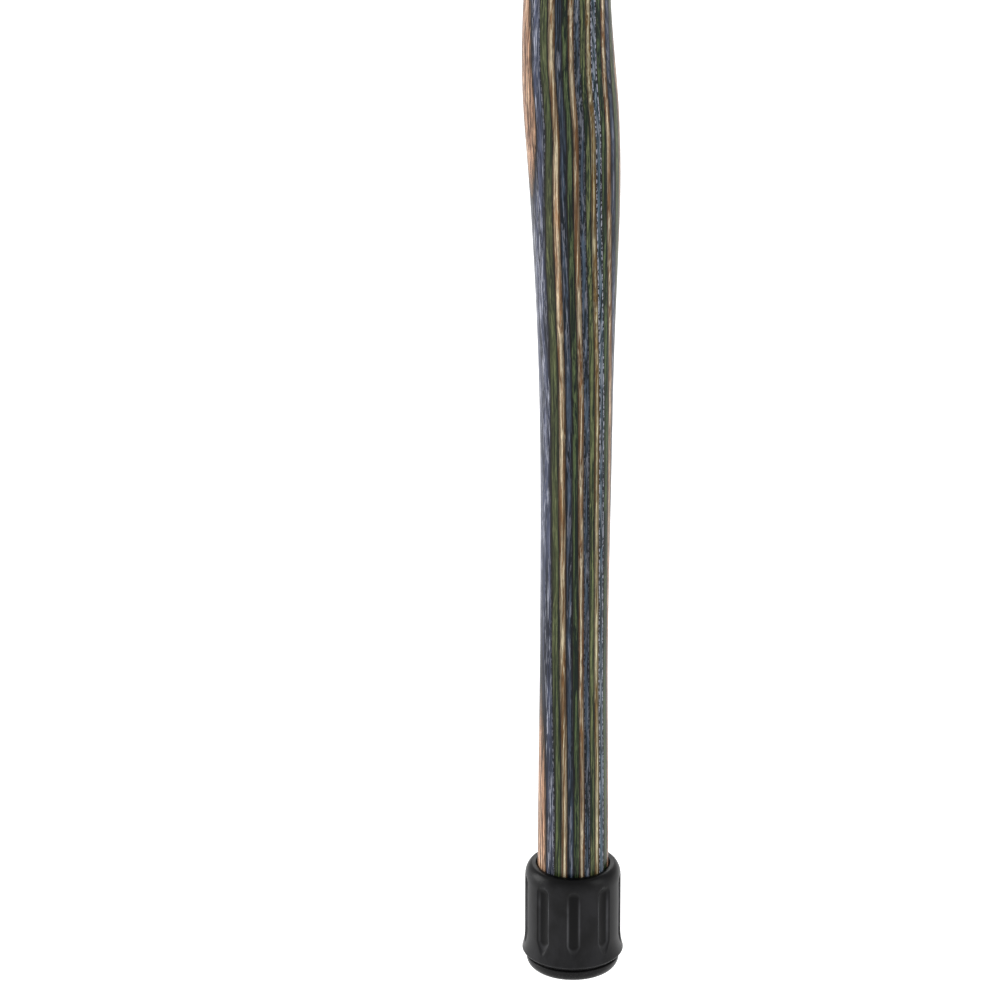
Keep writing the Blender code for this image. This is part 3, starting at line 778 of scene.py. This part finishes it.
def blank_group():
    """Number of the veneer that a place is in, its distance in mm from a glue line, and its grain."""
    tree, _, end = new_group(
        "place_in_blank", (), (("Number", "Float"), ("Edge", "Float"), ("Grain", "Vector")))
    place = add_node(tree, "ShaderNodeTexCoord").outputs["Object"]
    x, y, z = add_node(tree, "ShaderNodeSeparateXYZ", {0: place}).outputs
    from_face = calculate(tree, "ADD", y, BLANK_FACE + BOW_LINE[0][1])
    for (drop0, bow0), (drop1, bow1) in zip(BOW_LINE, BOW_LINE[1:]):
        bow = faded(tree, z, COLLAR_Z - drop1, COLLAR_Z - drop0, bow1 - bow0, 0.0)
        from_face = calculate(tree, "ADD", from_face, bow)
    count = calculate(tree, "DIVIDE", from_face, VENEER_PITCH)
    number = calculate(tree, "FLOOR", count)
    depth = calculate(tree, "FRACT", count)
    near = calculate(tree, "MINIMUM", depth, calculate(tree, "SUBTRACT", 1.0, depth))

    # The handle's grain runs along the grip, and no two veneers have the same grain
    along_grip = add_node(tree, "ShaderNodeCombineXYZ", {0: z, 1: y, 2: x}).outputs[0]
    in_handle = calculate(tree, "GREATER_THAN", z, JOINT_Z)
    along_grain = blended(tree, in_handle, place, along_grip)
    millimetres = stretched(tree, along_grain, (1 / MM, 1 / MM, 1 / MM))
    shift = add_node(
        tree, "ShaderNodeCombineXYZ", {0: times(tree, number, 37.3), 2: times(tree, number, 211.7)})
    plug(tree, end, {
        "Number": number,
        "Edge": times(tree, near, VENEER_PITCH / MM),
        "Grain": moved(tree, millimetres, shift.outputs[0])})
    return tree


def grain_group():
    """Marks of upright grain in a veneer, and where it is cut across its edge."""
    outputs = (*GRAIN_MARKS, "Lines", "Strokes", "Edge on")
    tree, start, end = new_group(
        "veneer_grain", (("Grain", "Vector"),), [(label, "Float") for label in outputs])
    grain = start.outputs["Grain"]
    bend = clouded(tree, stretched(tree, grain, SWAY_WAVES))
    sway = add_node(tree, "ShaderNodeCombineXYZ", {0: times(tree, bend, SWAY)})
    waved = moved(tree, grain, sway.outputs[0])

    def marks(waves, fade, detail, roughness):
        return faded(tree, clouded(tree, stretched(tree, waved, waves), detail, roughness), *fade)

    # Lines follow the places where the vessels' noise passes through its middle
    vessels = clouded(tree, stretched(tree, waved, VESSEL_WAVES), 2.0, 0.6)
    off_line = calculate(tree, "ABSOLUTE", calculate(tree, "SUBTRACT", vessels, 0.5))
    lines = times(tree, faded(tree, off_line, 0.015, 0.06, 1.0, 0.0), marks(*VESSEL_GAPS))
    # Pale strokes in patches, partly grain figure and partly painted sheen
    strokes = times(tree, marks(*STROKE_MARKS), marks(*STROKE_PATCHES))

    facing = add_node(tree, "ShaderNodeNewGeometry").outputs["Normal"]
    across = calculate(
        tree, "ABSOLUTE", add_node(tree, "ShaderNodeSeparateXYZ", {0: facing}).outputs[1])
    plug(tree, end, {label: marks(*recipe) for label, recipe in GRAIN_MARKS.items()})
    plug(tree, end, {
        "Lines": lines, "Strokes": strokes, "Edge on": faded(tree, across, 0.6, 0.93, 1.0, 0.0)})
    return tree


def veneer_group(blank_tree, grain_tree):
    """Dyed veneer under lacquer: its colour, its roughness and the height of its pores."""
    colours = ("Pale", "Deep", "Cut pale", "Cut deep", "Pore", "Fleck and sheen", "Stain")
    amounts = ("Dashes", "Lines", "Strokes", "Bleed")
    tree, start, end = new_group(
        "dyed_veneer",
        [(label, "Color") for label in colours] + [(label, "Float") for label in amounts],
        (("Colour", "Color"), ("Roughness", "Float"), ("Height", "Float")))
    given = start.outputs
    blank = add_node(tree, "ShaderNodeGroup", node_tree=blank_tree).outputs
    mark = add_node(
        tree, "ShaderNodeGroup", {"Grain": blank["Grain"]}, node_tree=grain_tree).outputs
    level = add_node(
        tree, "ShaderNodeTexWhiteNoise", {"W": blank["Number"]},
        noise_dimensions="1D").outputs["Value"]
    edge_on = mark["Edge on"]
    edge = calculate(tree, "ADD", blank["Edge"], going(tree, mark["Ribbons"], 0.06, -0.05))

    # The wood: its ground colour, pale strokes that are partly grain figure and partly painted sheen,
    # dark pores and the stain that the glue leaves
    face = blended(tree, mark["Bands"], given["Deep"], given["Pale"])
    cut = blended(tree, mark["Slivers"], given["Cut deep"], given["Cut pale"])
    colour = blended(tree, edge_on, face, cut)
    strokes = times(tree, mark["Strokes"], given["Strokes"], going(tree, edge_on, 1.0, 0.45))
    colour = blended(tree, strokes, colour, given["Fleck and sheen"])
    pores = calculate(
        tree, "MAXIMUM", times(tree, mark["Dashes"], given["Dashes"]),
        times(tree, mark["Lines"], given["Lines"]))
    pores = times(tree, pores, going(tree, edge_on, 1.0, 0.45))
    colour = blended(tree, pores, colour, given["Pore"])
    kept_out = calculate(tree, "SUBTRACT", 1.0, times(tree, edge_on, given["Bleed"]))
    stain = faded(tree, times(tree, edge, kept_out), *STAIN_REACH, 0.85, 0.0)
    colour = blended(tree, stain, colour, given["Stain"])

    # No two veneers have quite the same shade and hue
    shade = times(
        tree, going(tree, mark["Fibres"], 0.78, 1.22), going(tree, level, 0.84, 1.16))
    spread = times(tree, going(tree, edge_on, 0.008, 0.022), going(tree, level, 1.0, -1.0))
    hue = calculate(tree, "ADD", 0.5, spread)
    colour = add_node(
        tree, "ShaderNodeHueSaturation", {"Hue": hue, "Value": shade, "Color": colour}).outputs[0]

    # The glue line, and in some blue veneers a row of pale stitches along it
    colour = blended(tree, faded(tree, edge, *GLUE_REACH, 0.92, 0.0), colour, tone("glue"))
    stitches = times(
        tree, mark["Stitches"], faded(tree, blank["Edge"], *STITCH_REACH, 1.0, 0.0), edge_on,
        faded(tree, given["Strokes"], 0.4, 0.8, 0.0, 0.8), faded(tree, level, 0.45, 0.55))
    colour = blended(tree, stitches, colour, given["Fleck and sheen"])
    height = calculate(tree, "SUBTRACT", times(tree, mark["Fibres"], 0.3), pores)
    plug(tree, end, {
        "Colour": colour, "Roughness": going(tree, pores, 0.34, 0.5), "Height": height})
    return tree


def new_material(name):
    """A material with nothing in it but its shader and output."""
    material = bpy.data.materials.new(name)
    material.use_nodes = True
    tree = material.node_tree
    return material, tree, tree.nodes["Principled BSDF"]


def bumped(tree, height, strength, distance):
    """The surface's direction with a small relief on it."""
    inputs = {"Height": height, "Strength": strength, "Distance": distance}
    return add_node(tree, "ShaderNodeBump", inputs).outputs[0]


def veneer_material(name, veneer_tree):
    """One dye's veneer under a clear lacquer."""
    material, tree, shader = new_material(name)
    given = {
        label: linear(value) if isinstance(value, tuple) else value
        for label, value in VENEER_DYES[name].items()}
    wood = add_node(tree, "ShaderNodeGroup", given, node_tree=veneer_tree).outputs
    plug(tree, shader, {
        "Base Color": wood["Colour"],
        "Roughness": wood["Roughness"],
        "Normal": bumped(tree, wood["Height"], 0.12, 0.1 * MM),
        "Specular IOR Level": 0.03,
        "Coat Weight": 0.24,
        "Coat Roughness": 0.2})
    return material


def brass_material():
    """Polished brass with faint turning lines and a little tarnish."""
    material, tree, shader = new_material("polished_brass")
    place = add_node(tree, "ShaderNodeTexCoord").outputs["Object"]
    lines = clouded(tree, stretched(tree, place, (400.0, 400.0, 9000.0)), 2.0, 0.6)
    tarnish = faded(tree, clouded(tree, stretched(tree, place, (160.0, 160.0, 160.0)), 4.0), 0.42, 0.7)
    roughness = calculate(
        tree, "ADD", faded(tree, lines, 0.3, 0.7, 0.24, 0.34), times(tree, tarnish, 0.1))
    plug(tree, shader, {
        "Base Color": blended(tree, tarnish, tone("brass"), tone("tarnish")),
        "Roughness": roughness,
        "Normal": bumped(tree, lines, 0.08, 0.02 * MM),
        "Metallic": 1.0})
    return material


def steel_material():
    """Zinc-plated steel, slightly mottled."""
    material, tree, shader = new_material("zinc_steel")
    place = add_node(tree, "ShaderNodeTexCoord").outputs["Object"]
    mottle = clouded(tree, stretched(tree, place, (700.0, 700.0, 700.0)), 3.0, 0.6)
    brightness = faded(tree, mottle, 0.35, 0.65)
    plug(tree, shader, {
        "Base Color": blended(tree, brightness, tone("dull zinc"), tone("bright zinc")),
        "Roughness": faded(tree, mottle, 0.3, 0.7, 0.28, 0.42),
        "Normal": bumped(tree, mottle, 0.1, 0.02 * MM),
        "Metallic": 1.0})
    return material


def rubber_material():
    """Black moulded rubber in two tones, with painted shade in its flutes and on the band below its
    lip, a painted highlight down the flanks of its flutes, and pale dust low down.
    """
    material, tree, shader = new_material("black_rubber")
    place = add_node(tree, "ShaderNodeTexCoord").outputs["Object"]
    grit = clouded(tree, stretched(tree, place, (2600.0, 2600.0, 2600.0)), 2.0, 0.6)
    clouds = clouded(tree, stretched(tree, place, (170.0, 170.0, 120.0)), 3.0, 0.55)
    x, y, height = add_node(tree, "ShaderNodeSeparateXYZ", {0: place}).outputs
    radius = calculate(tree, "SQRT", calculate(tree, "ADD", times(tree, x, x), times(tree, y, y)))

    # A flank lies between the floor of a flute and the raised skin, clear of the flute's ends. The
    # flanks get a painted highlight
    raised = faded(tree, radius, TIP_BODY_RADIUS - 1.05 * FLUTE_DEPTH, TIP_BODY_RADIUS)
    off_flank = calculate(tree, "ABSOLUTE", calculate(tree, "SUBTRACT", raised, 0.55))
    fade = 6.0 * MM
    flank_highlight = times(
        tree, faded(tree, off_flank, 0.1, 0.45, 1.0, 0.0),
        faded(tree, clouds, 0.3, 0.7, 0.35, 0.8),
        faded(tree, height, FLUTE_BOTTOM, FLUTE_BOTTOM + fade),
        faded(tree, height, FLUTE_TOP - fade, FLUTE_TOP, 1.0, 0.0))
    # Low down, below the lip: pale dust, and painted shade
    low = faded(tree, height, 0.0, TIP_LIP_HEIGHT, 1.0, 0.0)
    dust = times(tree, low, faded(tree, grit, 0.5, 0.75, 0.0, 0.4))

    # Raised skin in two tones at random. Everything sunk inside it (flute floors, shoulder, socket and
    # tread) is painted shade, darker up towards the top
    worn = blended(tree, faded(tree, clouds, 0.35, 0.7), tone("rubber"), tone("worn rubber"))
    up_flute = faded(tree, height, FLUTE_BOTTOM, FLUTE_TOP)
    hollow = blended(tree, up_flute, tone("flute foot painted shade"), tone("flute head painted shade"))
    colour = blended(tree, raised, hollow, worn)
    # Painted highlight down the flanks of the flutes
    colour = blended(tree, flank_highlight, colour, tone("painted flank highlight"))
    # Painted shade on the band below the lip, darkest at the floor
    colour = blended(tree, times(tree, low, 0.8), colour, tone("below lip painted shade"))
    relief = calculate(tree, "ADD", grit, times(tree, clouds, 1.5))
    plug(tree, shader, {
        "Base Color": blended(tree, dust, colour, tone("dust")),
        "Roughness": faded(tree, clouds, 0.3, 0.7, 0.3, 0.42),
        "Normal": bumped(tree, relief, 0.25, 0.06 * MM),
        "Specular IOR Level": 0.11})
    return material


def seen_directly(tree):
    """1 for rays from the camera or off a shiny or clear surface, otherwise 0."""
    path = add_node(tree, "ShaderNodeLightPath").outputs
    shiny = calculate(tree, "MAXIMUM", path["Is Glossy Ray"], path["Is Transmission Ray"])
    return calculate(tree, "MAXIMUM", path["Is Camera Ray"], shiny)


def floor_material():
    """Pale floor that the camera sees as white, except for the shadow on it."""
    material, tree, shader = new_material("pale_floor")
    place = add_node(tree, "ShaderNodeTexCoord").outputs["Object"]
    mottle = clouded(tree, stretched(tree, place, (3.0, 3.0, 3.0)), 2.0)
    away = add_node(tree, "ShaderNodeVectorMath", {0: place}, operation="LENGTH").outputs["Value"]
    glow = blended(
        tree, faded(tree, away, FLOOR_GLOW_FROM, FLOOR_GLOW_FULL_AT),
        (FLOOR_GLOW, FLOOR_GLOW, FLOOR_GLOW, 1.0), (1.0, 1.0, 1.0, 1.0))
    plug(tree, shader, {
        "Base Color": blended(
            tree, faded(tree, mottle, 0.3, 0.7), tone("floor"), tone("bright floor")),
        "Roughness": 0.9,
        "Specular IOR Level": 0.0,
        "Emission Color": glow,
        "Emission Strength": seen_directly(tree)})
    return material


def make_floor():
    """A wide floor below the tip."""
    bm = bmesh.new()
    bmesh.ops.create_circle(bm, cap_ends=True, segments=96, radius=FLOOR_RADIUS)
    bmesh.ops.translate(bm, verts=bm.verts, vec=(0.0, 0.0, FLOOR_Z))
    floor = new_object("floor", bm)
    floor.data.materials.append(floor_material())


def make_world():
    """White surroundings, dimmer where they light the object than where they are seen."""
    world = bpy.data.worlds.new("studio")
    bpy.context.scene.world = world
    world.use_nodes = True
    tree = world.node_tree
    strength = going(tree, seen_directly(tree), WORLD_LIGHT, 1.0)
    plug(tree, tree.nodes["Background"], {"Color": (1.0, 1.0, 1.0, 1.0), "Strength": strength})


def direction(round_angle, over_angle):
    """The way from the object to something that stands round and over it."""
    return Vector((
        math.sin(round_angle) * math.cos(over_angle),
        -math.cos(round_angle) * math.cos(over_angle),
        math.sin(over_angle)))


def make_camera():
    """The camera, aimed beside the shaft, with a lens that gives the picture its scale."""
    data = bpy.data.cameras.new("camera")
    data.sensor_width = 36.0
    data.lens = data.sensor_width * CAMERA_AWAY / (PICTURE_WIDTH * MM / PIXELS_PER_MM)
    data.clip_start = 0.01
    data.clip_end = 100.0
    camera = bpy.data.objects.new("camera", data)
    bpy.context.scene.collection.objects.link(camera)
    towards = direction(CAMERA_ROUND, CAMERA_OVER)
    right = Vector((math.cos(CAMERA_ROUND), math.sin(CAMERA_ROUND), 0.0))
    target = Vector((0, 0, CAMERA_LOOKS_AT_Z)) - right * CAMERA_LEFT_OF_SHAFT
    camera.location = target + towards * CAMERA_AWAY
    camera.rotation_euler = towards.to_track_quat("Z", "Y").to_euler()
    bpy.context.scene.camera = camera


def make_light(name, round_degrees, over_degrees, away, width, height, power):
    """A soft rectangular lamp that faces the middle of the shaft."""
    data = bpy.data.lights.new(name, "AREA")
    data.shape = "RECTANGLE"
    data.size = width
    data.size_y = height
    data.energy = power
    lamp = bpy.data.objects.new(name, data)
    bpy.context.scene.collection.objects.link(lamp)
    towards = direction(math.radians(round_degrees), math.radians(over_degrees))
    lamp.location = Vector((0, 0, LAMPS_AIM_AT_Z)) + towards * away
    lamp.rotation_euler = towards.to_track_quat("Z", "Y").to_euler()


def main():
    """Set the stage, then make every piece of the cane."""
    bpy.context.scene.view_settings.view_transform = "Standard"
    make_camera()
    make_world()
    make_floor()
    for name, values in LAMPS.items():
        make_light(name, *values)
    veneer_tree = veneer_group(blank_group(), grain_group())
    veneers = {name: veneer_material(name, veneer_tree) for name in VENEER_DYES}
    steel = steel_material()
    make_veneers("shaft", shaft_body(), veneers)
    make_veneers("handle", handle_body(), veneers)
    make_collar(brass_material())
    make_washer(steel)
    make_tip(rubber_material())
    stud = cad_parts["joining_stud"]
    stud.data.materials.clear()
    stud.data.materials.append(steel)


main()
